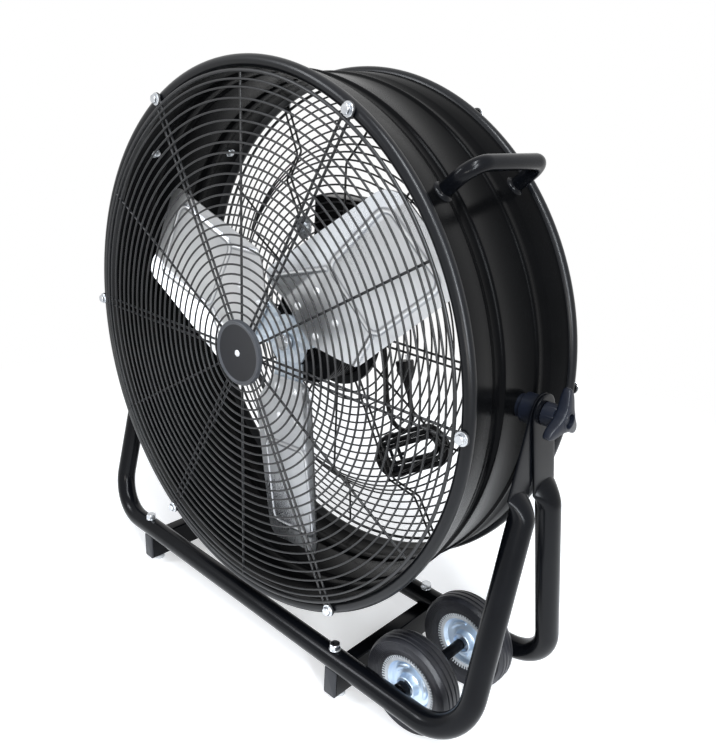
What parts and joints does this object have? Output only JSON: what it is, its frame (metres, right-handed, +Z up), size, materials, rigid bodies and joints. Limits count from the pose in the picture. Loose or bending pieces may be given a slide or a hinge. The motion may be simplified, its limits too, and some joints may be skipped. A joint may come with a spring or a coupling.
{
  "type": "drum fan",
  "caption": "Portable drum fan: wire-grilled sheet drum with bare metal blades, tilting between knobs on a wheeled tube stand, with carry handles and a hanked mains lead.",
  "frame": {"origin": "on the floor, under the middle of the fan's overall width and depth", "axes": "+X along the tilt axis towards the wheels' side, +Y from the front grille to the rear, +Z up"},
  "size_m": [0.7476, 0.2422, 0.755],
  "materials": {
    "black_tube": "gloss black powder coat on tube",
    "black_sheet": "gloss black powder coat on rolled sheet",
    "black_wire": "satin black coated wire",
    "zinc_bolt": "bright zinc plate",
    "bare_blade": "rolled mill finish",
    "galvanised": "galvanised sheet",
    "motor_paint": "semi gloss black",
    "shaft_steel": "ground steel",
    "wheel_rim": "zinc plated pressed steel",
    "tyre_rubber": "matte black rubber",
    "black_plastic": "moulded, matte",
    "cap_plastic": "moulded, matte",
    "light_plastic": "pale grey nylon",
    "disc_paint": "charcoal, satin",
    "cord_rubber": "matte black sheath"
  },
  "bodies": {
    "stand": {"front_hoop": "black_tube", "rear_hoop": "black_tube", "left_cross_bar": "black_tube", "right_cross_bar": "black_tube", "bar_end_caps": "cap_plastic", "glide_feet": "light_plastic", "frame_bolts": "zinc_bolt", "wheel_axle": "shaft_steel", "axle_spacers": "black_plastic"},
    "drum": {"control_box": "black_sheet", "cord_hank": "cord_rubber", "cord_lead": "cord_rubber", "cord_tail": "cord_rubber", "disc_rivet": "zinc_bolt", "drum_band": "black_sheet", "front_disc": "disc_paint", "front_flare": "black_sheet", "front_grille_bolts": "zinc_bolt", "front_grille_rings": "black_wire", "front_grille_spokes": "black_wire", "hank_tie": "black_plastic", "left_handle": "black_tube", "motor": "motor_paint", "motor_bolts": "zinc_bolt", "pivot_screws": "zinc_bolt", "pivot_sleeves": "black_plastic", "plug": "cord_rubber", "rear_flare": "black_sheet", "rear_grille_bolts": "zinc_bolt", "rear_grille_rings": "black_wire", "rear_grille_spokes": "black_wire", "right_handle": "black_tube", "strain_relief": "black_plastic"},
    "fan": {"motor_shaft": "shaft_steel", "hub_collar": "shaft_steel", "spider": "galvanised", "blade_1": "bare_blade", "blade_2": "bare_blade", "blade_3": "bare_blade"},
    "front_wheel": {"front_tyre": "tyre_rubber", "front_rim": "wheel_rim"},
    "rear_wheel": {"rear_tyre": "tyre_rubber", "rear_rim": "wheel_rim"},
    "left_knob": {"left_knob": "black_plastic"},
    "right_knob": {"right_knob": "black_plastic"},
    "speed_dial": {"speed_dial": "black_plastic"}
  },
  "joints": [
    {"name": "drum_tilt", "type": "hinge", "parent": "stand", "child": "drum", "pos_m": [0, -0.00285, 0.428], "axis": [1, 0, 0], "range_deg": [-180, 180]},
    {"name": "fan_spin", "type": "hinge", "parent": "drum", "child": "fan", "pos_m": [0, -0.00835, 0.425], "axis": [0, 1, 0], "continuous": true},
    {"name": "front_wheel_spin", "type": "hinge", "parent": "stand", "child": "front_wheel", "pos_m": [0.251, -0.05515, 0.0625], "axis": [0, 1, 0], "continuous": true},
    {"name": "rear_wheel_spin", "type": "hinge", "parent": "stand", "child": "rear_wheel", "pos_m": [0.251, 0.05725, 0.0625], "axis": [0, 1, 0], "continuous": true},
    {"name": "left_knob_spin", "type": "hinge", "parent": "drum", "child": "left_knob", "pos_m": [-0.36, -0.00285, 0.428], "axis": [1, 0, 0], "continuous": true},
    {"name": "right_knob_spin", "type": "hinge", "parent": "drum", "child": "right_knob", "pos_m": [0.36, -0.00285, 0.428], "axis": [1, 0, 0], "continuous": true},
    {"name": "speed_dial_turn", "type": "hinge", "parent": "drum", "child": "speed_dial", "pos_m": [0, 0.10675, 0.5575], "axis": [0, 1, 0], "range_deg": [0, 135]}
  ]
}
